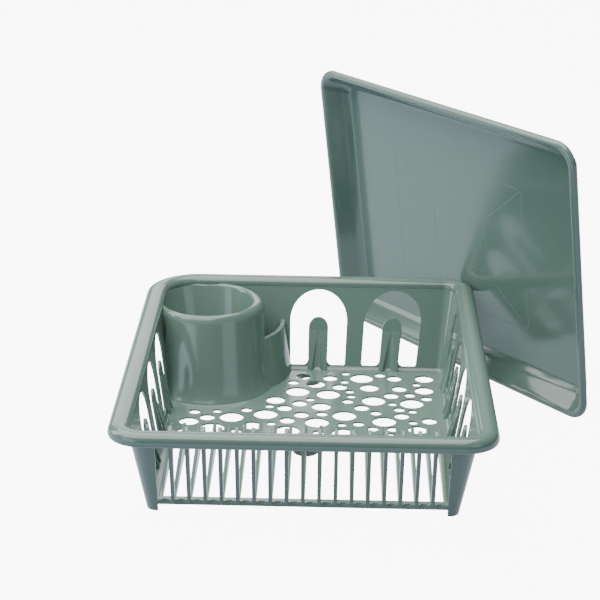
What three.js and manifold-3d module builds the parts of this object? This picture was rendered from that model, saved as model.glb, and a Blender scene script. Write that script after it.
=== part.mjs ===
// Dish drying rack: a moulded basket with sloping walls, plate slots, a cutlery cup and a
// knife pocket, and the drip tray that stands on edge behind it.
// Millimetres, +Z up, +X right, +Y to the back; the rack stands on Z = 0.
import * as THREE from 'three';
import { mergeVertices } from 'three/addons/utils/BufferGeometryUtils.js';
import Module from 'manifold-3d';

const wasm = await Module();
wasm.setup();

// ---- driving dimensions, with X and Y measured from the middle of the basket ----
const GAP = 0.3;                    // clearance left between neighbouring members
const WALL = 2.4;                   // moulded wall thickness
const FAR = 300;                    // further out than anything in the basket
// Wall outside at the ground, and where the rim sits on it: half sizes, corner radii (the back
// left corner follows the cup), and how far the ground outline is set towards the front.
const BASE = { x: 154.9, y: 181.1, r: 10, cupCorner: 24, z: 0, shift: -7 };
const TOP = { x: 170.1, y: 223.6, r: 17, cupCorner: 41, z: 96, shift: 0 };
const FOOT = 6.5;                   // how far the corner feet reach below the walls
const FOOT_LENGTH = 38;             // how far each corner foot runs along its side wall
const PITCH = 16;                   // plate slot pitch
const FRONT_BARS = 17;
const RAMP_FINS = 19;
const BAR_WIDTH = 3.8;
const FIN_WIDTH = 2.8;
const CORNER_X = 143;               // where the side walls end on the front and on the back
const RAIL = { top: 12.5, depth: 8.4, setback: 3.3, scallop: 5.6, scallopDepth: 3.4 };
const FIN = { tip: 33.6, back: 6.5, knee: 32, kneeHeight: 26 };
const FLOOR = { front: -50, bottom: 6.5, top: 9, lip: 5 };
const BUBBLES = [                   // floor holes: radius, and how many to fit in
  { r: 13, count: 15 }, { r: 10.5, count: 10 }, { r: 8.2, count: 20 },
  { r: 6.2, count: 18 }, { r: 5, count: 16 }];
const ARCH = { half: 34.2, tongue: 11.2, bottom: 13, top: 92, tongueTop: 63, corner: 6 };
const BACK_ARCHES = [9.8, 99.2];     // arch centres, measured where the rim sits on the wall
const SIDE_ARCHES = [-111.6, -24.9, 61.8, 148.5];
const CUP = { x: -116.9, y: 164.8, r: 59.6, top: 97, foot: { x: -112, y: 131, r: 71.5 } };
const BORE = { x: -116.4, y: 164.4, r: 52, foot: { x: -107, y: 135, r: 41 }, floor: 12 };
const DRAINS = { count: 6, ring: 24, r: 4 };
const POCKET = { x: -70, y: 191, r: 40, top: 60, foot: { x: -72, y: 153, r: 50 } };
const CENTRE_FEET = { at: [-39, 158.5], r: 14, wall: 2.6 };
const TRAY = { length: 437.5, width: 326, r: 26, left: [41.9, 399], turn: 52.3, lean: 8 };

// ---- solids ----
function toSolid(geometry) {
  geometry.deleteAttribute('normal');
  geometry.deleteAttribute('uv');
  const merged = mergeVertices(geometry, 1e-4);
  return new wasm.Manifold(new wasm.Mesh({
    numProp: 3,
    vertProperties: new Float32Array(merged.attributes.position.array),
    triVerts: new Uint32Array(merged.index.array),
  }));
}

function toGeometry(body) {
  const mesh = body.getMesh();
  const geometry = new THREE.BufferGeometry();
  geometry.setAttribute('position', new THREE.BufferAttribute(mesh.vertProperties, mesh.numProp));
  geometry.setIndex(new THREE.BufferAttribute(mesh.triVerts, 1));
  geometry.computeVertexNormals();
  return geometry;
}

// Skin over a stack of rings with equal counts, listed so that the faces point outward:
// from the bottom up, or outside up and inside down where it closes on itself.
function skin(rings, closed = false) {
  const count = rings[0].length, faces = [];
  const bands = closed ? rings.length : rings.length - 1;
  for (let i = 0; i < bands; i += 1) {
    const a = i * count, b = ((i + 1) % rings.length) * count;
    for (let j = 0; j < count; j += 1) {
      const k = (j + 1) % count;
      faces.push(a + j, a + k, b + k, a + j, b + k, b + j);
    }
  }
  const end = (rings.length - 1) * count;
  for (let j = 1; j < count - 1 && !closed; j += 1) faces.push(0, j + 1, j, end, end + j, end + j + 1);
  const geometry = new THREE.BufferGeometry();
  geometry.setAttribute('position', new THREE.Float32BufferAttribute(rings.flat(2), 3));
  geometry.setIndex(faces);
  return toSolid(geometry);
}

function box(x0, x1, y0, y1, z0, z1) {
  const block = new THREE.BoxGeometry(x1 - x0, y1 - y0, z1 - z0);
  return toSolid(block.translate((x0 + x1) / 2, (y0 + y1) / 2, (z0 + z1) / 2));
}

function cylinder(x, y, r, z0, z1, sides) {
  const peg = new THREE.CylinderGeometry(r, r, z1 - z0, sides).rotateX(Math.PI / 2);
  return toSolid(peg.translate(x, y, (z0 + z1) / 2));
}

// An outline in Y and Z, carried along X from x0 to x1.
function alongX(outline, x0, x1) {
  const bar = new THREE.ExtrudeGeometry(outline, { depth: x1 - x0, bevelEnabled: false });
  const turn = new THREE.Matrix4().makeBasis(
    new THREE.Vector3(0, 1, 0), new THREE.Vector3(0, 0, 1), new THREE.Vector3(1, 0, 0));
  return toSolid(bar.applyMatrix4(turn).translate(x0, 0, 0));
}

// An outline in X and Z, carried along Y from y0 to y1.
function alongY(outline, y0, y1) {
  const bar = new THREE.ExtrudeGeometry(outline, { depth: y1 - y0, bevelEnabled: false });
  return toSolid(bar.rotateX(Math.PI / 2).translate(0, y1, 0));
}

const outlineOf = (points) => new THREE.Shape(points.map(([u, v]) => new THREE.Vector2(u, v)));
const biggest = (body) => body.decompose().reduce((a, b) => (a.volume() > b.volume() ? a : b));

function arc(cx, cy, r, from, to, steps) {
  const { degToRad } = THREE.MathUtils;
  const curve = new THREE.EllipseCurve(cx, cy, r, r, degToRad(from), degToRad(to), to < from);
  return curve.getPoints(steps).map((p) => [p.x, p.y]);
}

// Rectangle with rounded corners; backLeft is that corner's own radius.
function roundedRing(hx, hy, r, z, steps = 6, backLeft = r) {
  const corners = [[1, 1, 0, r], [-1, 1, 90, backLeft], [-1, -1, 180, r], [1, -1, 270, r]];
  return corners.flatMap(([sx, sy, start, rc]) => (
    arc(sx * (hx - rc), sy * (hy - rc), rc, start, start + 90, steps).map(([x, y]) => [x, y, z])));
}

const circle = (x, y, r, z, sides = 48) => (
  arc(x, y, r, 0, 360, sides).slice(0, sides).map(([u, v]) => [u, v, z]));

// ---- the basket's walls ----
const at = (key, z) => BASE[key] + ((TOP[key] - BASE[key]) * z) / TOP.z;
const halfWidth = (z) => at('x', z);
const frontY = (z) => at('shift', z) - at('y', z);
const backY = (z) => at('shift', z) + at('y', z);

function basketRing(z, inset) {
  const ring = roundedRing(
    at('x', z) - inset, at('y', z) - inset, at('r', z) - inset, z, 6, at('cupCorner', z) - inset);
  return ring.map(([x, y]) => [x, y + at('shift', z), z]);
}
const basketSolid = (inset, z0, z1) => skin([basketRing(z0, inset), basketRing(z1, inset)]);

function basketShell() {
  return skin([basketRing(0, 0), basketRing(TOP.z, 0), basketRing(TOP.z, WALL),
    basketRing(0, WALL)], true);
}

// Horseshoe opening: a tall arch with a round-topped tongue standing in its middle. It narrows
// downwards as its wall does: spread says where a place at the rim's level comes at height z.
function archOutline(centre, spread) {
  const { half, tongue, bottom, top, tongueTop, corner: c } = ARCH;
  return outlineOf([
    ...arc(-half + c, bottom + c, c, 180, 270, 3),
    ...arc(-tongue - c, bottom + c, c, 270, 360, 3),
    ...arc(0, tongueTop - tongue, tongue, 180, 0, 8),
    ...arc(tongue + c, bottom + c, c, 180, 270, 3),
    ...arc(half - c, bottom + c, c, 270, 360, 3),
    ...arc(0, top - half, half, 0, 180, 12),
  ].map(([u, v]) => [spread(u + centre, v), v]));
}
const alongSide = (y, z) => (y * at('y', z)) / TOP.y + at('shift', z);
const alongBack = (x, z) => (x * halfWidth(z)) / TOP.x;

// Side wall with its front and back corners, whose bottoms are the corner feet.
function sideWall(side, arches) {
  const [x0, x1] = side > 0 ? [CORNER_X, FAR] : [-FAR, -CORNER_X];
  let wall = basketShell().intersect(box(x0, x1, -FAR, FAR, -1, FAR));
  wall = wall.subtract(box(x0, x1, frontY(0) + FOOT_LENGTH, backY(0) - FOOT_LENGTH, -1, FOOT));
  for (const y of arches) wall = wall.subtract(alongX(archOutline(y, alongSide), x0, x1));
  return biggest(wall);
}

function backWall() {
  const half = CORNER_X - GAP;
  let wall = basketShell().intersect(box(-half, half, 0, FAR, FOOT, FAR));
  for (const x of BACK_ARCHES) wall = wall.subtract(alongY(archOutline(x, alongBack), FAR / 3, FAR));
  return biggest(wall);
}

// Rolled lip: an inverted channel carried round the top of the walls. Each point of its
// section is how far it stands out from the wall's outside, and its height.
function rim() {
  const section = [[-2.4, 96.3], [0, 96.3], [0, 98.6], [2.2, 100.4], [6.5, 101.1], [11.5, 100.6],
    [15, 98.6], [16.2, 95.4], [15.6, 91.9], [17.8, 91.2], [19, 94.8], [18.7, 98.2],
    [16.8, 101.2], [12.6, 103.2], [7, 103.8], [1.6, 103.3], [-1.4, 101.8], [-2.4, 99.2]];
  const steps = 7;
  return skin(section.map(([out, z]) => (
    roundedRing(TOP.x + out, TOP.y + out, TOP.r + out, z, steps, TOP.cupCorner + out))), true);
}

// ---- plate slots at the front ----
// Upright bar in the plane of the front wall, with a short tip behind the rim.
function frontBar(x) {
  const top = frontY(TOP.z), behind = top + WALL + GAP, shelf = RAIL.top + 1, foot = FOOT + 1.8;
  const side = outlineOf([
    [frontY(foot), foot], [frontY(foot) + 3, foot], [frontY(shelf) + 3, shelf],
    [frontY(30) + 7, 30], [top + 16, 96.5], [top + 14.2, 100.6], [top + 11, 101.6],
    [behind, 99.5], [behind, TOP.z], [top, TOP.z]]);
  return alongX(side, x - BAR_WIDTH / 2, x + BAR_WIDTH / 2);
}

// Rail across the foot of the bars, scalloped between them.
function frontRail() {
  const { top, depth, setback, scallop, scallopDepth } = RAIL;
  const half = CORNER_X - GAP;
  const face = (z) => frontY(z) + setback, y0 = face(FOOT), y1 = y0 + depth;
  let rail = alongX(outlineOf([[y0, FOOT], [y1, FOOT], [y1, top - 1.2], [y1 - 1.2, top],
    [face(top) + 1, top], [face(top - 1), top - 1]]), -half, half);
  for (let k = 0; k <= FRONT_BARS; k += 1) {
    const x = (k - FRONT_BARS / 2) * PITCH;
    rail = rail.subtract(skin([circle(x, y0 - 6, 1.5, top - scallopDepth, 20),
      circle(x, y0 - 3, scallop, top + 3, 20)]));
  }
  return rail;
}

// Thin fin that rises from the rail to a tip above the floor's front edge.
function rampFin(x) {
  const start = frontY(FOOT) + RAIL.setback + RAIL.depth + GAP;
  const lip = FLOOR.front - GAP, end = lip + FIN.back, step = FLOOR.top + GAP;
  const side = outlineOf([[start, FLOOR.lip], [lip, FLOOR.lip], [lip, step], [end, step],
    [end, FIN.tip - 2.3], [end - 1.9, FIN.tip], [lip - FIN.knee, FIN.kneeHeight],
    [start, RAIL.top - 1.2]]);
  return alongX(side, x - FIN_WIDTH / 2, x + FIN_WIDTH / 2);
}

// ---- cup and pocket ----
const cupOutside = (grow) => skin([
  circle(CUP.foot.x, CUP.foot.y, CUP.foot.r + grow, FLOOR.lip),
  circle(CUP.x, CUP.y, CUP.r + grow, CUP.top - 5),
  circle(CUP.x, CUP.y, CUP.r - 1.4 + grow, CUP.top - 1.4),
  circle(CUP.x, CUP.y, CUP.r - 4.2 + grow, CUP.top)]);
const cupBore = (grow, z0) => skin([
  circle(BORE.foot.x, BORE.foot.y, BORE.foot.r + grow, z0),
  circle(BORE.x, BORE.y, BORE.r + grow, CUP.top + 0.2)]);

// Double-walled cup in the back left corner: hollow from below, with a drained floor.
function cutleryCup() {
  const outside = cupOutside(0);
  const inWalls = basketSolid(WALL + GAP, 0, TOP.z);
  const inRim = skin([basketRing(TOP.z - 0.1, WALL + GAP), basketRing(CUP.top + 1, WALL + 2 * GAP)]);
  const hollow = cupOutside(-WALL).intersect(basketSolid(2 * WALL + GAP, 0, CUP.top - 8))
    .subtract(cupBore(WALL, BORE.floor - WALL));
  const below = cylinder(CUP.foot.x, CUP.foot.y, CUP.foot.r - WALL, 0, FLOOR.lip + 0.5, 48)
    .intersect(basketSolid(2 * WALL + GAP, 0, CUP.top));
  let cup = outside.intersect(inWalls).add(outside.intersect(inRim))
    .subtract(hollow).subtract(below).subtract(cupBore(0, BORE.floor));
  for (const [x, y] of arc(BORE.foot.x, BORE.foot.y, DRAINS.ring, 0, 360, DRAINS.count).slice(1)) {
    cup = cup.subtract(cylinder(x, y, DRAINS.r, 0, BORE.floor + WALL, 16));
  }
  return biggest(cup);
}

// Curved screen between the cup and the back wall.
function knifePocket() {
  const round = (inset, beyond) => skin([
    circle(POCKET.foot.x, POCKET.foot.y, POCKET.foot.r - inset, FLOOR.top + GAP - beyond),
    circle(POCKET.x, POCKET.y, POCKET.r - inset, POCKET.top + beyond)]);
  return biggest(round(0, 0).subtract(round(WALL, 0.5))
    .intersect(basketSolid(WALL + GAP, 0, TOP.z)).subtract(cupOutside(GAP)));
}

// ---- floor ----
// Random bubbles, big ones first, kept clear of each other, the walls, the cup and the pocket.
function bubbles() {
  let seed = 20;
  const random = () => {
    seed = (seed * 16807) % 2147483647;
    return seed / 2147483647;
  };
  const near = (x, y, round, gap) => Math.hypot(x - round.x, y - round.y) < round.r + gap;
  const placed = [], tries = 4000, between = 3.4, round = 5;
  const hx = halfWidth(FLOOR.top), hy = backY(FLOOR.top);
  for (const { r, count } of BUBBLES) {
    for (let n = 0, made = 0; n < tries && made < count; n += 1) {
      const x = (2 * random() - 1) * (hx - r - 12);
      const y = FLOOR.front + r + 4 + random() * (hy - 10 - FLOOR.front - 2 * r);
      const blocked = near(x, y, CUP.foot, r + round) || near(x, y, POCKET.foot, r + round)
        || y > hy - r - 9 || placed.some((other) => near(x, y, other, r + between));
      if (!blocked) {
        placed.push({ x, y, r });
        made += 1;
      }
    }
  }
  return placed;
}

function floorPanel() {
  const { front, bottom, top, lip } = FLOOR;
  const lipBlock = basketSolid(WALL + GAP, lip, top).intersect(box(-FAR, FAR, front, front + WALL, 0, FAR));
  let panel = basketSolid(WALL + GAP, bottom, top).intersect(box(-FAR, FAR, front, FAR, 0, FAR))
    .add(lipBlock).subtract(cupOutside(GAP));
  for (const { x, y, r } of bubbles()) {
    panel = panel.subtract(cylinder(x, y, r, bottom - 1, top + 1, r > 8 ? 20 : 14));
  }
  return biggest(panel);
}

// Short hollow foot under the floor's centre line.
function centreFoot(y) {
  const { r, wall } = CENTRE_FEET, top = FLOOR.bottom - GAP, sides = 32;
  const section = [[r - wall, 0], [r - 1.2, 0], [r, 1.2], [r, top], [0, top], [0, top - WALL],
    [r - wall, top - WALL], [r - wall, 0]].map(([u, v]) => new THREE.Vector2(u, v));
  const foot = toSolid(new THREE.LatheGeometry(section, sides).rotateX(Math.PI / 2).translate(0, y, 0));
  const { front, lip } = FLOOR;
  return foot.subtract(box(-FAR, FAR, -FAR, front + WALL + GAP, lip - GAP, FAR));
}

// ---- drip tray, lying open side up ----
function dripTray() {
  const section = [[-29, 0], [-27, 0.4], [-17, 21.6], [-12.4, 22.4], [-10.6, 25], [-7.5, 26.2],
    [-4, 25.6], [-2.4, 23.4], [-2.2, 20], [0, 20], [0, 24.6], [-1.6, 27], [-4.4, 28.4],
    [-8.6, 28.6], [-12.2, 27.2], [-14, 24.6], [-18.4, 23.8], [-28.4, 2.6], [-30, 2.2]];
  return skin(section.map(([out, z]) => (
    roundedRing(TRAY.length / 2 + out, TRAY.width / 2 + out, TRAY.r + out * 0.6, z))));
}

// Stands the tray on its long edge behind the basket's back right corner, leaning on it.
function standTray(tray) {
  const { degToRad } = THREE.MathUtils;
  const turn = degToRad(TRAY.turn), lean = degToRad(TRAY.lean);
  const along = new THREE.Vector3(Math.cos(turn), -Math.sin(turn), 0);
  const facing = new THREE.Vector3(-Math.sin(turn), -Math.cos(turn), 0);
  const up = new THREE.Vector3(0, 0, Math.cos(lean)).addScaledVector(facing, Math.sin(lean));
  const open = new THREE.Vector3().crossVectors(along, up);
  tray.applyMatrix4(new THREE.Matrix4().makeBasis(along, up, open));
  tray.position.set(...TRAY.left, 0).addScaledVector(along, TRAY.length / 2);
  tray.position.z = -new THREE.Box3().setFromObject(tray, true).min.z;
}

// ---- assembly ----
const basket = new THREE.Group();

function add(name, body) {
  const plastic = new THREE.MeshStandardMaterial({ color: 0x8fa898, roughness: 0.3, metalness: 0 });
  const part = new THREE.Mesh(toGeometry(body), plastic);
  part.name = name;
  basket.add(part);
  return part;
}

const numbered = (name, i) => `${name}_${String(i + 1).padStart(2, '0')}`;
add('rim', rim());
add('left_wall', sideWall(-1, SIDE_ARCHES.slice(0, 3)));
add('right_wall', sideWall(1, SIDE_ARCHES));
add('back_wall', backWall());
add('floor_panel', floorPanel());
add('front_rail', frontRail());
for (let i = 0; i < FRONT_BARS; i += 1) {
  add(numbered('front_bar', i), frontBar((i - (FRONT_BARS - 1) / 2) * PITCH));
}
for (let i = 0; i < RAMP_FINS; i += 1) {
  const limit = CORNER_X - GAP - FIN_WIDTH / 2;
  const x = THREE.MathUtils.clamp((i - (RAMP_FINS - 1) / 2) * PITCH, -limit, limit);
  add(numbered('ramp_fin', i), rampFin(x));
}
add('cutlery_cup', cutleryCup());
add('knife_pocket', knifePocket());
CENTRE_FEET.at.forEach((y, i) => add(numbered('centre_foot', i), centreFoot(y)));
standTray(add('drip_tray', dripTray()));

// The origin is the middle of the whole set's footprint, on the ground.
const middle = new THREE.Box3().setFromObject(basket, true).getCenter(new THREE.Vector3());
basket.position.set(-middle.x, -middle.y, 0);
const rack = new THREE.Group();
rack.add(basket);

export default rack;
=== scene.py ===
"""Looks of the dish drying rack: the moulded basket and the drip tray that leans on it.

Shapes are drawn in millimetres from the middle of the basket's rim, with X to the right, Y to
the back and Z up, and placed in metres where the CAD frame has the rim.
"""

import math

import bpy
from mathutils import Matrix, Vector


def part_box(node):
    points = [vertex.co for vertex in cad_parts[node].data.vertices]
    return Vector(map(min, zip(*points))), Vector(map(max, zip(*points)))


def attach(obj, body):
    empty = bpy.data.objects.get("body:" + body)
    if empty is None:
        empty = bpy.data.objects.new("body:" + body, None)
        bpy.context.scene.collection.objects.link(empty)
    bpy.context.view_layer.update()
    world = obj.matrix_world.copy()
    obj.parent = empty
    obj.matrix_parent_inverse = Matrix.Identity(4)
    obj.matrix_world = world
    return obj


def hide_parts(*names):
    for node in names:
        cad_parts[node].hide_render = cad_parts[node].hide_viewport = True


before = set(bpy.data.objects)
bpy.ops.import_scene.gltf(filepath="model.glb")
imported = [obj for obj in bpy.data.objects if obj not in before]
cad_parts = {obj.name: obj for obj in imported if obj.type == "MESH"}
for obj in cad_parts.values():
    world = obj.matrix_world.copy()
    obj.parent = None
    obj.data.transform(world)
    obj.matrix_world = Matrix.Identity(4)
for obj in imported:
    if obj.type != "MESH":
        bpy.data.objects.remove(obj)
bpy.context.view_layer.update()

MM = 0.001
rim_low, rim_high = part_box("rim")
MIDDLE = Vector(((rim_low.x + rim_high.x) / 2, (rim_low.y + rim_high.y) / 2, 0))

# ---- sizes in millimetres ----
WALL = 2.4
MERGE = 1.2                       # how far a member runs into the wall it grows out of
FAR = 400                         # past the rack on every side, for cutting tools
INSIDE = 100                      # between the walls, where their cutting tools end
BASE = {"x": 154.9, "y": 181.1, "r": 10, "cup_corner": 24, "shift": -7}
TOP = {"x": 170.1, "y": 223.6, "r": 17, "cup_corner": 41, "shift": 0}
WALL_TOP = 96
UNDER_RIM = 2.4                   # how far the walls run up inside the rim
RIM_TOP = 103.8
RIM = {"base": 94.6, "fullness": 0.92}
FOOT, FOOT_LENGTH = 6.5, 38
CORNER_X = 143
PITCH, FRONT_BARS, RAMP_FINS = 16, 17, 19
BAR_WIDTH, FIN_WIDTH = 3.9, 3.5
RAIL = {"top": 12.5, "depth": 8.4, "setback": 3.3, "scallop": 5.8, "scallop_depth": 4.2}
FIN = {"tip": 33.6, "back": 6.5, "knee": 32, "knee_height": 26}
FLOOR = {"front": -50, "bottom": 6.5, "top": 9, "lip": 5}
FLOOR_COVE = 3
BUBBLES = [(13, 15), (10.5, 10), (8.2, 20), (6.2, 18), (5, 16)]       # radius, how many
# What the holes keep clear of. The CAD floor keeps other distances from the cup and the pocket,
# so three of its holes are elsewhere.
CLEAR = {"cup": 9, "pocket": 4, "hole": 3.4, "side": 12, "front": 4, "back": 9, "spread": 10}
SEED, MULTIPLIER, MODULUS, TRIES = 20, 16807, 2147483647, 4000
ARCH = {"half": 34.2, "tongue": 11.9, "bottom": 13, "top": 92, "tongue_top": 63, "corner": 6,
        "foot_corner": 2}
TONGUE = {"foot": 5.6, "top": 50, "widening": 1.6}
BACK_ARCHES = [9.8, 99.2]
SIDE_ARCHES = [-111.6, -24.9, 61.8, 148.5]
LEFT_ARCHES = SIDE_ARCHES[:3]     # the cup stands where the fourth would be
CUP = {"top": (-115.2, 166.4, 61.7), "foot": (-112, 131, 67.6), "height": 97}
CUP_FLARE = [(5, 4.6), (9, 4), (11, 3.1), (14, 2.1), (18, 1.2), (24, 0.4),
             (31, 0)]           # height, outward
CUP_LIP = [(9, 0), (6.8, -0.25), (4.8, -0.95), (3.1, -2.1), (1.7, -3.7), (0.7, -5.5),
           (0.15, -7.4), (0, -9)]               # down from the top, outward
BORE = {"top": (-117.3, 163.4, 51.8), "foot": (-107, 135, 41), "floor": 12, "back": 57.8,
        "corner": 0.72}
DRAINS = {"count": 6, "ring": 24, "r": 4}
POCKET = {"top": (-117.3, 194.6, 87.4), "foot": (-110, 175, 89), "height": 60, "wall": 4.6}
CENTRE_FEET = {"at": (-39, 158.5), "r": 14, "wall": 2.6}
TRAY = {"length": 437.5, "width": 326, "r": 26, "left": (41.9, 399), "turn": 52.3, "lean": 8}
TRAY_STEPS = 3                    # points drawn for each one of the section
TRAY_SECTION = [                  # outward from the edge, height: floor, slope, lip, underside
    (-31, 2.2), (-27.5, 2.4), (-25, 3.2), (-20.8, 6), (-18.2, 8.6), (-15.6, 12.8), (-10.6, 22),
    (-8.8, 25.2), (-7.2, 27.4), (-5, 28.5), (-2.4, 28.3), (-0.7, 27), (0, 24.8), (0, 22.8),
    (-0.9, 21.8), (-1.9, 22.8), (-2.6, 25), (-4.6, 25.9), (-6.4, 24.4), (-8.8, 20.4),
    (-13.6, 11.4), (-16, 7.2), (-19.2, 4), (-24.4, 0.9), (-27.4, 0.1), (-31, 0)]
PATTERN = {"frames": [(110.5, 86, 10), (44.5, 33, 4)], "middle": (-4, -8), "corner": 30,
           "level": 2.2, "width": 1.3, "edge_width": 1.5, "height": 0.13}

# ---- looks ----
FLOW_MARKS, GLOSS_GRAIN, ORANGE_PEEL = (14, 4), (160, 3), (900, 3)       # noise: scale, detail
PEEL = {"strength": 0.04, "distance": 0.0002}
COAT = {"weight": 0.25, "roughness": 0.06}
CAMERA = {"at": (27.3, -1917.3, 842), "yaw": -1.08, "pitch": 19.66, "roll": 0.74, "lens": 116.03}
LIGHTS = [                        # name, place, aim, size (metres), watts, colour
    ("overhead", (-0.6, 0.2, 2.2), (0, 0, 0), (3.2, 2.6), 130, (1, 1, 1)),
    ("left", (-2.0, 0.4, 1.1), (0, 0, 0.1), (0.9, 1.5), 22, (1, 1, 1)),
    ("right", (1.5, -1.6, 1.3), (0, 0, 0.1), (1.2, 1.2), 6, (0.8, 0.9, 1)),
    ("back", (-0.3, 2.5, 1.2), (0, 0, 0.1), (2.8, 1.0), 20, (1, 1, 1)),
    ("front_left", (-1.9, -1.9, 0.8), (0, 0, 0.1), (1.8, 1.2), 19, (0.72, 0.86, 1))]
AIR = {"color": (0.7, 0.83, 1.0, 1), "strength": 0.15}
# The floor's own colour is dark. It is pale by the light it shows to the camera, and its glow to
# gloss is a painted reflection.
GROUND = {"reach": 12000, "level": -0.3, "color": (0.15, 0.19, 0.24, 1), "roughness": 0.8,
          "camera_color": (1, 1, 1, 1), "painted_reflection_color": (0.82, 0.92, 1, 1),
          "camera_strength": 9, "painted_reflection_strength": 1.4}


def at(key, z):
    """A basket size at height z, between its foot and the level where the rim sits on it."""
    return BASE[key] + (TOP[key] - BASE[key]) * z / WALL_TOP


def front_y(z):
    return at("shift", z) - at("y", z)


def back_y(z):
    return at("shift", z) + at("y", z)


# ---- outlines ----
def arc(cx, cy, r, start, end, steps):
    """Points round an arc, from start to end in degrees."""
    turns = [math.radians(start + (end - start) * i / steps) for i in range(steps + 1)]
    return [(cx + r * math.cos(t), cy + r * math.sin(t)) for t in turns]


def rounded_ring(hx, hy, r, z, steps=14, back_left=None):
    """A rounded rectangle of half sizes hx and hy; its back left corner may differ."""
    corners = [(1, 1, 0, r), (-1, 1, 90, r if back_left is None else back_left),
               (-1, -1, 180, r), (1, -1, 270, r)]
    ring = []
    for sx, sy, start, rc in corners:
        corner = arc(sx * (hx - rc), sy * (hy - rc), rc, start, start + 90, steps)
        ring += [(x, y, z) for x, y in corner]
    return ring


def basket_ring(z, inset, level=None):
    """The wall's outline at height z, moved in by inset; level puts it at another height."""
    ring = rounded_ring(at("x", z) - inset, at("y", z) - inset, at("r", z) - inset, z,
                        back_left=at("cup_corner", z) - inset)
    return [(x, y + at("shift", z), z if level is None else level) for x, y, _ in ring]


def circle(x, y, r, z, sides=72):
    return [(u, v, z) for u, v in arc(x, y, r, 0, 360, sides)[:-1]]


def smooth_line(points, steps=4):
    """A Catmull-Rom curve through a closed list of points."""
    count, line = len(points), []
    for i in range(count):
        a, b, c, d = (Vector(points[(i + k) % count]) for k in (-1, 0, 1, 2))
        for s in range(steps):
            t = s / steps
            line.append(0.5 * ((2 * b) + (c - a) * t + (2 * a - 5 * b + 4 * c - d) * t ** 2
                               + (3 * b - a - 3 * c + d) * t ** 3))
    return line


# ---- meshes ----
def make(name, points, faces, place=True):
    """A mesh object from millimetres."""
    mesh = bpy.data.meshes.new(name)
    mesh.from_pydata([Vector(p) * MM + (MIDDLE if place else Vector()) for p in points], [], faces)
    mesh.update()
    piece = bpy.data.objects.new(name, mesh)
    bpy.context.scene.collection.objects.link(piece)
    return piece


def skin(name, rings, closed=False, place=True):
    """Skin over rings of equal count that run from the bottom up, or round a closed section."""
    count, faces = len(rings[0]), []
    bands = len(rings) if closed else len(rings) - 1
    for i in range(bands):
        a, b = i * count, ((i + 1) % len(rings)) * count
        faces += [(a + j, a + (j + 1) % count, b + (j + 1) % count, b + j) for j in range(count)]
    if not closed:
        end = (len(rings) - 1) * count
        faces += [tuple(reversed(range(count))), tuple(range(end, end + count))]
    return make(name, [p for ring in rings for p in ring], faces, place)


def prism(name, outline, to_space, low, high):
    """A 2D outline carried from low to high; to_space puts (u, v, along) in space."""
    area = sum(u0 * v1 - u1 * v0 for (u0, v0), (u1, v1) in zip(outline, outline[1:] + outline[:1]))
    outline = outline if area > 0 else outline[::-1]
    return skin(name, [[to_space(u, v, w) for u, v in outline] for w in (low, high)])


def along_x(u, v, w):
    return (w, u, v)


def along_y(u, v, w):
    return (u, -w, v)


def box(name, x0, x1, y0, y1, z0, z1):
    return skin(name, [[(x0, y0, z), (x1, y0, z), (x1, y1, z), (x0, y1, z)] for z in (z0, z1)])


def joined(name, pieces):
    """One object from several, which are removed."""
    points, faces = [], []
    for piece in pieces:
        start = len(points)
        points += [v.co.copy() for v in piece.data.vertices]
        faces += [tuple(start + i for i in p.vertices) for p in piece.data.polygons]
        bpy.data.objects.remove(piece)
    mesh = bpy.data.meshes.new(name)
    mesh.from_pydata(points, [], faces)
    mesh.update()
    whole = bpy.data.objects.new(name, mesh)
    bpy.context.scene.collection.objects.link(whole)
    return whole


def carve(piece, tool, operation="DIFFERENCE"):
    """Cuts piece with tool, or keeps what they share, and removes the tool."""
    cut = piece.modifiers.new("carve", "BOOLEAN")
    cut.operation, cut.object, cut.solver = operation, tool, "EXACT"
    depsgraph = bpy.context.evaluated_depsgraph_get()
    mesh = bpy.data.meshes.new_from_object(piece.evaluated_get(depsgraph), depsgraph=depsgraph)
    piece.modifiers.clear()
    piece.data = mesh
    bpy.data.objects.remove(tool)
    return piece


def smooth(piece):
    for polygon in piece.data.polygons:
        polygon.use_smooth = True
    return piece


def even(piece):
    """Shading that follows the large faces."""
    shading = piece.modifiers.new("shading", "WEIGHTED_NORMAL")
    shading.keep_sharp = True
    return piece


def soften(piece, width=0.6, segments=2, angle=38):
    """Moulded edges: a small rounding wherever two faces meet at more than the angle."""
    smooth(piece)
    bevel = piece.modifiers.new("rounding", "BEVEL")
    bevel.width, bevel.segments = width * MM, segments
    bevel.limit_method, bevel.angle_limit = "ANGLE", math.radians(angle)
    bevel.miter_outer = "MITER_ARC"
    return even(piece)


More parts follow.
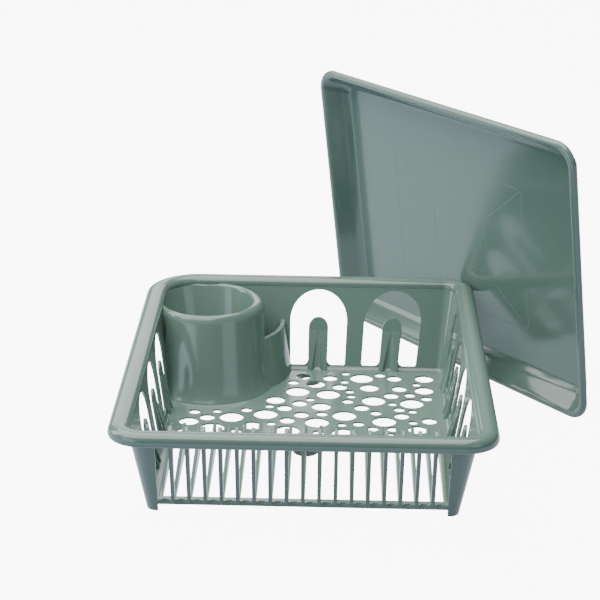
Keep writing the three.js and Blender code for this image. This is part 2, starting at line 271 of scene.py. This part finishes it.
# ---- material ----
def plastic(name, color, deep, roughness):
    """Glossy moulded plastic: faint flow marks in the colour, fine orange-peel in the gloss."""
    material = bpy.data.materials.new(name)
    material.use_nodes = True
    nodes, links = material.node_tree.nodes, material.node_tree.links
    shader = nodes["Principled BSDF"]
    place = nodes.new("ShaderNodeTexCoord")

    def noise(scale, detail):
        texture = nodes.new("ShaderNodeTexNoise")
        texture.inputs["Scale"].default_value = scale
        texture.inputs["Detail"].default_value = detail
        links.new(place.outputs["Object"], texture.inputs["Vector"])
        return texture.outputs["Fac"]

    tint = nodes.new("ShaderNodeMix")
    tint.data_type = "RGBA"
    tint.inputs["A"].default_value = (*deep, 1)
    tint.inputs["B"].default_value = (*color, 1)
    links.new(noise(*FLOW_MARKS), tint.inputs["Factor"])
    links.new(tint.outputs["Result"], shader.inputs["Base Color"])
    gloss = nodes.new("ShaderNodeMapRange")
    gloss.inputs["To Min"].default_value = roughness * 0.9
    gloss.inputs["To Max"].default_value = roughness * 1.12
    links.new(noise(*GLOSS_GRAIN), gloss.inputs["Value"])
    links.new(gloss.outputs["Result"], shader.inputs["Roughness"])
    peel = nodes.new("ShaderNodeBump")
    peel.inputs["Strength"].default_value = PEEL["strength"]
    peel.inputs["Distance"].default_value = PEEL["distance"]
    links.new(noise(*ORANGE_PEEL), peel.inputs["Height"])
    links.new(peel.outputs["Normal"], shader.inputs["Normal"])
    shader.inputs["IOR"].default_value = 1.5
    shader.inputs["Coat Weight"].default_value = COAT["weight"]
    shader.inputs["Coat Roughness"].default_value = COAT["roughness"]
    return material


SAGE = plastic("sage_plastic", color=(0.130, 0.205, 0.166), deep=(0.124, 0.196, 0.158),
               roughness=0.17)


def keep(piece, body, *nodes):
    """Finishes a piece of the object: its material, its body and the CAD nodes it stands for."""
    piece.data.materials.clear()
    piece.data.materials.append(SAGE)
    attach(piece, body)
    if nodes:
        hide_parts(*nodes)
    return piece


# ---- walls ----
def spread_side(y, z):
    """Where a place along a side wall at the rim's level comes at height z."""
    return y * at("y", z) / TOP["y"] + at("shift", z)


def spread_back(x, z):
    return x * at("x", z) / TOP["x"]


def arch_outline(centre, spread):
    """An arched opening that goes round the tongue standing in its middle."""
    half, tongue, bottom = ARCH["half"], ARCH["tongue"], ARCH["bottom"]
    c, e = ARCH["corner"], ARCH["foot_corner"]
    points = (arc(-half + e, bottom + e, e, 180, 270, 4)
              + arc(-tongue - c, bottom + c, c, 270, 360, 6)
              + arc(0, ARCH["tongue_top"] - tongue, tongue, 180, 0, 16)
              + arc(tongue + c, bottom + c, c, 180, 270, 6)
              + arc(half - e, bottom + e, e, 270, 360, 4)
              + arc(0, ARCH["top"] - half, half, 0, 180, 28))
    return [(spread(u + centre, v), v) for u, v in points]


def walls():
    top = WALL_TOP + UNDER_RIM
    rings = [basket_ring(0, 0), basket_ring(WALL_TOP, 0), basket_ring(WALL_TOP, 0, top),
             basket_ring(WALL_TOP, WALL, top), basket_ring(WALL_TOP, WALL), basket_ring(0, WALL)]
    shell = skin("basket_walls", rings, closed=True)
    half, foot_end = CORNER_X, FOOT_LENGTH
    cutters = [
        box("cut", -half, half, -FAR, -80, -1, WALL_TOP + 0.4),
        box("cut", -half, half, 80, FAR, -1, FOOT),
        box("cut", -FAR, -half - 1, front_y(0) + foot_end, back_y(0) - foot_end, -1, FOOT),
        box("cut", half + 1, FAR, front_y(0) + foot_end, back_y(0) - foot_end, -1, FOOT)]
    cutters += [prism("cut", arch_outline(x, spread_back), along_y, -FAR, -INSIDE)
                for x in BACK_ARCHES]
    cutters += [prism("cut", arch_outline(y, spread_side), along_x, INSIDE, FAR)
                for y in SIDE_ARCHES]
    cutters += [prism("cut", arch_outline(y, spread_side), along_x, -FAR, -INSIDE)
                for y in LEFT_ARCHES]
    carve(shell, joined("cuts", cutters))
    return soften(shell, 0.7, 3)


def tongue_ribs(name, centre, spread, to_wall):
    """Two ribs that grow out of a tongue towards its foot, with a hollow flute between them."""
    rows, columns, sunk = 28, 40, 0.6
    low, high = FLOOR["top"] - 1.5, TONGUE["top"]
    rings = []
    for i in range(rows + 1):
        z = low + (high - low) * i / rows
        fade = (high - z) / (high - low)
        half = ARCH["tongue"] - 0.3 + TONGUE["widening"] * max(0, (24 - z) / 24)
        hollow = 0.06 + 0.56 * fade ** 0.8
        line = []
        for j in range(columns + 1):
            u = 2 * j / columns - 1
            flute = max(0, 1 - (abs(u) / hollow) ** 2.4)
            side = min(1, (1 - abs(u)) / 0.06)
            depth = TONGUE["foot"] * fade * (1 - 0.94 * flute) - 0.15
            line.append((u * half, (depth + sunk) * math.sin(side * math.pi / 2) - sunk))
        line += [(half, -MERGE), (-half, -MERGE)]
        rings.append([to_wall(spread(centre + u, z), z, depth) for u, depth in line])
    return smooth(skin(name, rings))


# ---- rim ----
def rim():
    """A hollow rolled bead, open below, with a small hem on its outer edge."""
    base, power = RIM["base"], RIM["fullness"]

    def half_round(middle, half, rise, start, end, steps):
        return [(middle + half * math.copysign(abs(x) ** power, x), base + rise * abs(y) ** power)
                for x, y in arc(0, 0, 1, start, end, steps)]

    section = half_round(8, 11, RIM_TOP - base, 180, 0, 30)
    section += [(18.9, 92.6), (18.2, 91.4), (17.2, 91.4), (16.5, 92.6)]
    section += half_round(8.1, 8.3, 6.4, 0, 180, 16) + [(-1, 94.2), (-2.4, 94)]
    rings = [rounded_ring(TOP["x"] + out, TOP["y"] + out, TOP["r"] + out, z, 24,
                          TOP["cup_corner"] + out) for out, z in section]
    return smooth(skin("basket_rim", rings, closed=True))


# ---- floor ----
def bubbles():
    """Random bubbles, big ones first, clear of each other, the walls, the cup and the pocket."""
    seed, placed = SEED, []
    hx, hy, front = at("x", FLOOR["top"]), back_y(FLOOR["top"]), FLOOR["front"]

    def near(x, y, r, other, gap):
        return math.hypot(x - other[0], y - other[1]) < other[2] + r + gap

    for r, count in BUBBLES:
        made = tries = 0
        while made < count and tries < TRIES:
            tries += 1
            seed = seed * MULTIPLIER % MODULUS
            x = (2 * seed / MODULUS - 1) * (hx - r - CLEAR["side"])
            seed = seed * MULTIPLIER % MODULUS
            y = (front + r + CLEAR["front"]
                 + seed / MODULUS * (hy - CLEAR["spread"] - front - 2 * r))
            blocked = (near(x, y, r, CUP["foot"], CLEAR["cup"])
                       or near(x, y, r, POCKET["foot"], CLEAR["pocket"])
                       or y > hy - r - CLEAR["back"]
                       or any(near(x, y, r, other, CLEAR["hole"]) for other in placed))
            if not blocked:
                placed.append((x, y, r))
                made += 1
    return placed


def floor_panel():
    low, high, front = FLOOR["bottom"], FLOOR["top"], FLOOR["front"]
    panel = skin("basket_floor", [basket_ring(low, MERGE), basket_ring(high, MERGE)])
    holes = [skin("hole", [circle(x, y, r, low - 1, 40), circle(x, y, r, high + 1, 40)])
             for x, y, r in bubbles()]
    holes.append(box("hole", -FAR, FAR, -FAR, front, low - 1, high + 1))
    carve(panel, joined("holes", holes))
    return soften(panel, 0.55, 3)


def side_ledges():
    """The floor runs on along both side walls to the front rail."""
    low, high = FLOOR["bottom"], FLOOR["top"]
    start, end = front_y(FOOT) + RAIL["setback"] + 1, FLOOR["front"] + 3
    inner, outer = CORNER_X - 1, at("x", low) - MERGE
    ledges = [box("ledge", *sorted((side * inner, side * outer)), start, end, low, high)
              for side in (-1, 1)]
    return soften(joined("side_ledges", ledges), 0.5)


def floor_lip():
    front, half = FLOOR["front"], at("x", FLOOR["top"]) - WALL + MERGE
    return soften(box("floor_lip", -half, half, front, front + WALL, FLOOR["lip"],
                      FLOOR["bottom"] + 0.5), 0.5)


def cove(name, ring_at, radius, level):
    """A concave fillet between the floor and what rises from it; ring_at(out) is its path."""
    steps, rings = 8, [ring_at(-1, level - 1)]
    for i in range(steps + 1):
        t = math.radians(90 * i / steps)
        rings.append(ring_at(radius * (1 - math.sin(t)), level + radius * (1 - math.cos(t))))
    rings.append(ring_at(-1, level + radius))
    return skin(name, rings, closed=True)


def floor_cove():
    """Fillet where the floor meets the walls."""
    def ring(inward, z):
        return basket_ring(z, WALL + inward)
    piece = cove("floor_cove", ring, FLOOR_COVE, FLOOR["top"])
    carve(piece, box("cut", -FAR, FAR, -FAR, FLOOR["front"] + 0.2, -1, FAR))
    return smooth(piece)


# ---- cup and pocket ----
def between(low, high, t):
    return [a + (b - a) * t for a, b in zip(low, high)]


def cup_ring(z, grow=0.0, level=None):
    low, high = FLOOR["lip"], CUP["height"] - 5
    x, y, r = between(CUP["foot"], CUP["top"], min(1, (z - low) / (high - low)))
    return circle(x, y, r + grow, z if level is None else level, 120)


def cup_outside():
    """Skewed cone that flares into the floor, with a thick rounded lip."""
    profile = CUP_FLARE + [(CUP["height"] - down, grow) for down, grow in CUP_LIP]
    return skin("cup_body", [cup_ring(z, grow) for z, grow in profile])


def bore_ring(z, grow=0.0):
    """Round in front, out to the back wall behind, and squarer in the basket's corner."""
    t = (z - BORE["floor"]) / (CUP["height"] - BORE["floor"])
    x, y, r = between(BORE["foot"], BORE["top"], t)
    back = r + (BORE["back"] - BORE["top"][2]) * t + grow
    r += grow
    ring = []
    for u, v in arc(0, 0, 1, 0, 180, 60)[:-1]:
        power = 1 if u > 0 else BORE["corner"]
        ring.append((x + r * math.copysign(abs(u) ** power, u), y + back * abs(v) ** power))
    ring += arc(x, y, r, 180, 360, 60)[:-1]
    return [(u, v, z) for u, v in ring]


def cutlery_cup():
    top, floor = CUP["height"], BORE["floor"]
    cup = cup_outside()
    inner = skin("within", [basket_ring(0, MERGE), basket_ring(WALL_TOP, MERGE),
                            basket_ring(WALL_TOP, MERGE, top + 1)])
    carve(cup, inner, "INTERSECT")
    lip = [(floor, 0), (top - 4, 0), (top - 2, 0.3), (top - 0.8, 1.1), (top + 0.2, 2.6)]
    carve(cup, skin("bore", [bore_ring(z, grow) for z, grow in lip]))
    fx, fy, _ = BORE["foot"]
    drains = [skin("drain", [circle(u, v, DRAINS["r"], z, 24) for z in (0, floor + WALL)])
              for u, v in arc(fx, fy, DRAINS["ring"], 0, 360, DRAINS["count"])[:-1]]
    carve(cup, joined("drains", drains))
    return soften(cup, 0.5, 2, 50)


def pocket_ring(z, inset):
    t = (z - FLOOR["top"]) / (POCKET["height"] - FLOOR["top"])
    x, y, r = between(POCKET["foot"], POCKET["top"], t)
    return circle(x, y, r - inset, z, 160)


def knife_pocket():
    """A low curved screen from the cup to the back wall, open above."""
    low, high = FLOOR["top"] - 1, POCKET["height"]
    screen = skin("pocket_screen", [pocket_ring(low, 0), pocket_ring(high, 0)])
    inside = [pocket_ring(z, POCKET["wall"]) for z in (low - 3, high + 3)]
    carve(screen, skin("inside", inside))
    within = [basket_ring(0, MERGE), basket_ring(WALL_TOP, MERGE)]
    carve(screen, skin("within", within), "INTERSECT")
    carve(screen, skin("cup", [cup_ring(z, -1) for z in (FLOOR["lip"], CUP["height"] - 8)]))
    carve(screen, box("left_half", -FAR, CUP["foot"][0] + 20, -FAR, FAR, -1, FAR))
    return soften(screen, 1.6, 4)


def centre_foot(name, y):
    r, wall, top = CENTRE_FEET["r"], CENTRE_FEET["wall"], FLOOR["bottom"] + 0.5
    section = [(r - wall, 0.8), (r - wall + 0.6, 0), (r - 1.2, 0), (r, 1.2), (r, top),
               (r - wall, top)]
    piece = skin(name, [circle(0, y, radius, z, 64) for radius, z in section], closed=True)
    return soften(piece, 0.3, 2)


# ---- plate slots ----
def front_bars():
    top, shelf, foot = front_y(WALL_TOP), RAIL["top"] + 1, FOOT + 1.8
    side = [(front_y(foot), foot), (front_y(foot) + 3.6, foot), (front_y(shelf) + 4.5, shelf),
            (front_y(30) + 7, 30), (top + 16, 96.5), (top + 14.6, 100.4), (top + 11.5, 101.6),
            (top + 1.2, 98.6), (top, WALL_TOP)]
    bars = []
    for i in range(FRONT_BARS):
        x = (i - (FRONT_BARS - 1) / 2) * PITCH
        bars.append(prism("bar", side, along_x, x - BAR_WIDTH / 2, x + BAR_WIDTH / 2))
    return soften(joined("front_bars", bars), 0.7, 3, 30)


def front_rail():
    face, top = front_y(FOOT) + RAIL["setback"], RAIL["top"]
    half = at("x", FOOT) - MERGE - 2
    lean = front_y(top) - front_y(FOOT)
    back = face + RAIL["depth"]
    side = [(face, FOOT), (back, FOOT), (back, top - 1.5), (back - 1.5, top),
            (face + lean + 1, top), (face + lean, top - 1)]
    rail = prism("slot_rail", side, along_x, -half, half)
    scoops, steps = [], 8
    for k in range(FRONT_BARS + 1):
        x, z = (k - FRONT_BARS / 2) * PITCH, top - RAIL["scallop_depth"]
        rings = []
        for i in range(steps + 1):
            t = i / steps
            rings.append(circle(x, face - 6 + 3 * t, 0.6 + (RAIL["scallop"] - 0.6) * math.sqrt(t),
                                z - 2 + (RAIL["scallop_depth"] + 5) * t, 28))
        scoops.append(skin("scoop", rings))
    carve(rail, joined("scoops", scoops))
    return soften(rail, 0.6, 3, 40)


def ramp_fins():
    start = front_y(FOOT) + RAIL["setback"] + RAIL["depth"] - 1
    front, tip, step = FLOOR["front"], FIN["tip"], FLOOR["top"] - 0.5
    end = front + FIN["back"]
    side = [(start, FLOOR["lip"]), (front + 1, FLOOR["lip"]), (front + 1, step), (end, step),
            (end + 0.4, tip - 4), (end, tip - 1.6), (end - 1.6, tip), (front - FIN["knee"] / 2,
             (tip + FIN["knee_height"]) / 2 + 0.8), (front - FIN["knee"], FIN["knee_height"]),
            (start + 20, RAIL["top"] + 2.6), (start, RAIL["top"] - 1.4)]
    limit = CORNER_X - FIN_WIDTH / 2
    fins = []
    for i in range(RAMP_FINS):
        x = max(-limit, min(limit, (i - (RAMP_FINS - 1) / 2) * PITCH))
        fins.append(prism("fin", side, along_x, x - FIN_WIDTH / 2, x + FIN_WIDTH / 2))
    return soften(joined("ramp_fins", fins), 0.75, 3, 30)


# ---- drip tray ----
def tray_frame():
    """Matrix that stands the tray on its long edge, leaning on the basket's corner."""
    turn, lean = math.radians(TRAY["turn"]), math.radians(TRAY["lean"])
    along = Vector((math.cos(turn), -math.sin(turn), 0))
    facing = Vector((-math.sin(turn), -math.cos(turn), 0))
    up = Vector((0, 0, math.cos(lean))) + facing * math.sin(lean)
    frame_matrix = Matrix((along, up, along.cross(up))).transposed().to_4x4()
    middle = Vector((*TRAY["left"], 0)) + along * TRAY["length"] / 2
    return Matrix.Translation(MIDDLE + middle * MM) @ frame_matrix


def tray_ring(out, z, steps=16):
    return rounded_ring(TRAY["length"] / 2 + out, TRAY["width"] / 2 + out, TRAY["r"] + out * 0.6, z,
                        steps)


def ridge(name, path, width, height, level, closed):
    """A low raised line on the tray's floor along a path of points."""
    points, faces = [], []
    count = len(path)
    profile = [(-1, -0.5), (-0.55, 0.72), (0, 1), (0.55, 0.72), (1, -0.5)]
    for i, p in enumerate(path):
        before = path[i - 1] if closed or i else p
        after = path[(i + 1) % count] if closed or i + 1 < count else p
        way = (Vector(after) - Vector(before)).normalized()
        for u, v in profile:
            points.append((p[0] - way.y * u * width / 2, p[1] + way.x * u * width / 2,
                           level + v * height))
    n = len(profile)
    for i in range(count if closed else count - 1):
        a, b = i * n, ((i + 1) % count) * n
        faces += [(a + j, b + j, b + j + 1, a + j + 1) for j in range(n - 1)]
    return make(name, points, faces, place=False)


def drip_tray():
    """One sheet in section; the curve's last stretch, back to its start, is left out."""
    line = smooth_line(TRAY_SECTION, TRAY_STEPS)[:1 - TRAY_STEPS]
    rings = [tray_ring(out, z) for out, z in line]
    count, faces, points = len(rings[0]), [], [p for ring in rings for p in ring]
    for i in range(len(rings) - 1):
        a, b = i * count, (i + 1) * count
        faces += [(a + j, b + j, b + (j + 1) % count, a + (j + 1) % count) for j in range(count)]
    end = (len(rings) - 1) * count
    faces += [tuple(range(count)), tuple(reversed(range(end, end + count)))]
    tray = make("drip_tray_body", points, faces, place=False)
    return even(smooth(tray))


def tray_pattern():
    """Faint raised lines on the tray's floor: two frames, and diagonals between them."""
    lines, height, level = [], PATTERN["height"], PATTERN["level"]
    cx, cy = PATTERN["middle"]
    for hx, hy, r in PATTERN["frames"]:
        path = [(cx + x, cy + y) for x, y, _ in rounded_ring(hx, hy, r, 0, 8)]
        lines.append(ridge("line", path, PATTERN["width"], height, level, True))
    (ox, oy, _), (ix, iy, _) = PATTERN["frames"]
    for sx, sy in ((1, 1), (-1, 1), (-1, -1), (1, -1)):
        path = [(cx + sx * (ox - 2), cy + sy * (oy - 2)), (cx + sx * (ix - 1), cy + sy * (iy - 1))]
        lines.append(ridge("line", path, PATTERN["width"], height, level, False))
    hx, hy = (TRAY[key] / 2 - PATTERN["corner"] for key in ("length", "width"))
    edge = [(x, y) for x, y, _ in rounded_ring(hx, hy, 6, 0, 8)]
    lines.append(ridge("line", edge, PATTERN["edge_width"], height, level, True))
    return smooth(joined("tray_pattern", lines))


# ---- camera, lights and floor ----
def camera():
    yaw, pitch, roll = (math.radians(CAMERA[key]) for key in ("yaw", "pitch", "roll"))
    ahead = Vector((math.sin(yaw) * math.cos(pitch), math.cos(yaw) * math.cos(pitch),
                    -math.sin(pitch)))
    right = Vector((math.cos(yaw), -math.sin(yaw), 0))
    up = right.cross(ahead)
    right, up = (right * math.cos(roll) + up * math.sin(roll),
                 up * math.cos(roll) - right * math.sin(roll))
    view = bpy.data.objects.new("camera", bpy.data.cameras.new("camera"))
    view.matrix_world = (Matrix.Translation(MIDDLE + Vector(CAMERA["at"]) * MM)
                         @ Matrix((right, up, -ahead)).transposed().to_4x4())
    view.data.lens, view.data.sensor_width = CAMERA["lens"], 36
    view.data.clip_end = 50
    bpy.context.scene.collection.objects.link(view)
    bpy.context.scene.camera = view


def softbox(name, place, aim, size, power, color):
    lamp = bpy.data.lights.new(name, "AREA")
    lamp.shape, lamp.size, lamp.size_y = "RECTANGLE", size[0], size[1]
    lamp.energy, lamp.color = power, color
    light = bpy.data.objects.new(name, lamp)
    light.location = Vector(place)
    light.rotation_mode = "QUATERNION"
    light.rotation_quaternion = (Vector(aim) - Vector(place)).to_track_quat("-Z", "Y")
    bpy.context.scene.collection.objects.link(light)


def air():
    world = bpy.data.worlds.new("studio")
    world.use_nodes = True
    background = world.node_tree.nodes["Background"]
    background.inputs["Color"].default_value = AIR["color"]
    background.inputs["Strength"].default_value = AIR["strength"]
    bpy.context.scene.world = world


def ground():
    """The studio floor: a dark sheet that shows pale light to camera rays, and to glossy rays as a
    painted reflection.
    """
    reach, level = GROUND["reach"], GROUND["level"]
    sheet = make("studio_floor", [(-reach, -reach, level), (reach, -reach, level),
                                  (reach, reach, level), (-reach, reach, level)], [(0, 1, 2, 3)])
    paper = bpy.data.materials.new("paper")
    paper.use_nodes = True
    nodes, links = paper.node_tree.nodes, paper.node_tree.links
    shader = nodes["Principled BSDF"]
    shader.inputs["Base Color"].default_value = GROUND["color"]
    shader.inputs["Roughness"].default_value = GROUND["roughness"]
    rays = nodes.new("ShaderNodeLightPath")
    tone = nodes.new("ShaderNodeMix")
    tone.data_type = "RGBA"
    tone.inputs["A"].default_value = GROUND["painted_reflection_color"]
    tone.inputs["B"].default_value = GROUND["camera_color"]
    links.new(rays.outputs["Is Camera Ray"], tone.inputs["Factor"])
    links.new(tone.outputs["Result"], shader.inputs["Emission Color"])
    seen = nodes.new("ShaderNodeMath")
    seen.operation = "MULTIPLY"
    seen.inputs[1].default_value = GROUND["camera_strength"]
    links.new(rays.outputs["Is Camera Ray"], seen.inputs[0])
    # Glossy rays alone add this glow, which paints a pale reflection into the object's gloss.
    mirrored = nodes.new("ShaderNodeMath")
    mirrored.operation = "MULTIPLY_ADD"
    mirrored.inputs[1].default_value = GROUND["painted_reflection_strength"]
    links.new(rays.outputs["Is Glossy Ray"], mirrored.inputs[0])
    links.new(seen.outputs[0], mirrored.inputs[2])
    links.new(mirrored.outputs[0], shader.inputs["Emission Strength"])
    sheet.data.materials.append(paper)


camera()
for setting in LIGHTS:
    softbox(*setting)
air()
ground()

# ---- the basket ----
keep(rim(), "rack", "rim")
keep(walls(), "rack", "left_wall", "right_wall", "back_wall")
keep(floor_panel(), "rack", "floor_panel")
keep(side_ledges(), "rack")
keep(floor_lip(), "rack")
keep(floor_cove(), "rack")
keep(cutlery_cup(), "rack", "cutlery_cup")
keep(knife_pocket(), "rack", "knife_pocket")
keep(front_rail(), "rack", "front_rail")
keep(front_bars(), "rack", *[f"front_bar_{i + 1:02d}" for i in range(FRONT_BARS)])
keep(ramp_fins(), "rack", *[f"ramp_fin_{i + 1:02d}" for i in range(RAMP_FINS)])
for number, y in enumerate(CENTRE_FEET["at"], 1):
    keep(centre_foot(f"round_foot_{number}", y), "rack", f"centre_foot_{number:02d}")

for number, x in enumerate(BACK_ARCHES, 1):
    keep(tongue_ribs(f"back_tongue_{number}", x, spread_back,
                     lambda u, z, d: (u, back_y(z) - WALL - d, z)), "rack")
for number, y in enumerate(SIDE_ARCHES, 1):
    keep(tongue_ribs(f"right_tongue_{number}", y, spread_side,
                     lambda u, z, d: (at("x", z) - WALL - d, u, z)), "rack")
for number, y in enumerate(LEFT_ARCHES, 1):
    keep(tongue_ribs(f"left_tongue_{number}", y, spread_side,
                     lambda u, z, d: (WALL + d - at("x", z), u, z)), "rack")

# ---- the drip tray ----
standing = tray_frame()
tray_pieces = [drip_tray(), tray_pattern()]
for piece in tray_pieces:
    piece.data.transform(standing)
bpy.context.view_layer.update()
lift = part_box("drip_tray")[0].z - min(v.co.z for v in tray_pieces[0].data.vertices)
for piece in tray_pieces:
    piece.data.transform(Matrix.Translation((0, 0, lift)))
keep(tray_pieces[0], "tray", "drip_tray")
keep(tray_pieces[1], "tray")
